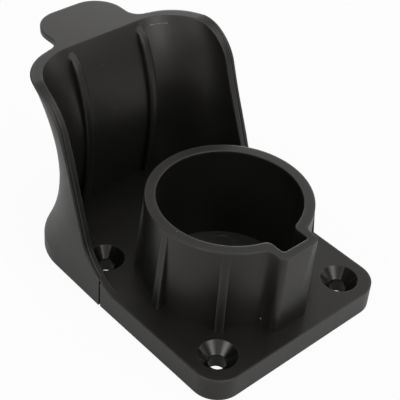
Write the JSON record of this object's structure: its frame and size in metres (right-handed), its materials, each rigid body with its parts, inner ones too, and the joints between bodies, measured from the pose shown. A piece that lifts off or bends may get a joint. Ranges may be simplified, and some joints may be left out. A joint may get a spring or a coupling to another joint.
{
  "type": "ev connector holder",
  "caption": "Moulded wall holder for a charging connector: round keyed socket on a screw plate, with a waisted hood for the coiled cable and a flat tongue that stops it.",
  "frame": {"origin": "centre of the four screw holes, on the socket axis, at the plate's back face", "axes": "+Z out of the wall along the socket axis, +Y towards the hood and its tongue, +X across the plate"},
  "size_m": [0.0724, 0.1188, 0.0638],
  "materials": {
    "holder": "black, finely grained as moulded, satin"
  },
  "bodies": {
    "root": {"holder": "holder"}
  },
  "joints": []
}
